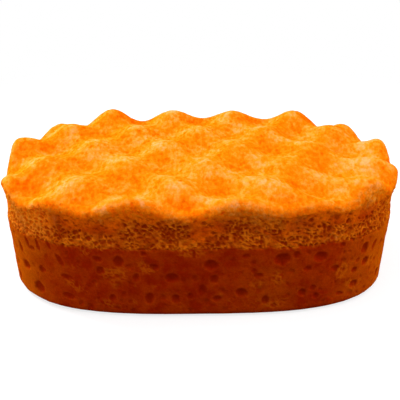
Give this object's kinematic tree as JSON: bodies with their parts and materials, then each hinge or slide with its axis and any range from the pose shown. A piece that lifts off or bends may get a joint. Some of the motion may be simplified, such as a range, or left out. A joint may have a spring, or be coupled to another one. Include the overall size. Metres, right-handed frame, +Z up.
{
  "type": "soap sponge",
  "caption": "Rounded-oblong bath sponge with an egg-crate foam top, its lower part filled with set soap, resting on a flat underside.",
  "frame": {"origin": "centre of the flat underside", "axes": "+Z up, +X along the long side, -Y towards the front long face"},
  "size_m": [0.135, 0.086, 0.0448],
  "materials": {
    "foam": "dry open-cell foam, matt",
    "soap_filled_foam": "foam filled with set soap, slightly waxy"
  },
  "bodies": {
    "root": {"foam_sponge": "foam", "soap_base": "soap_filled_foam"}
  },
  "joints": []
}
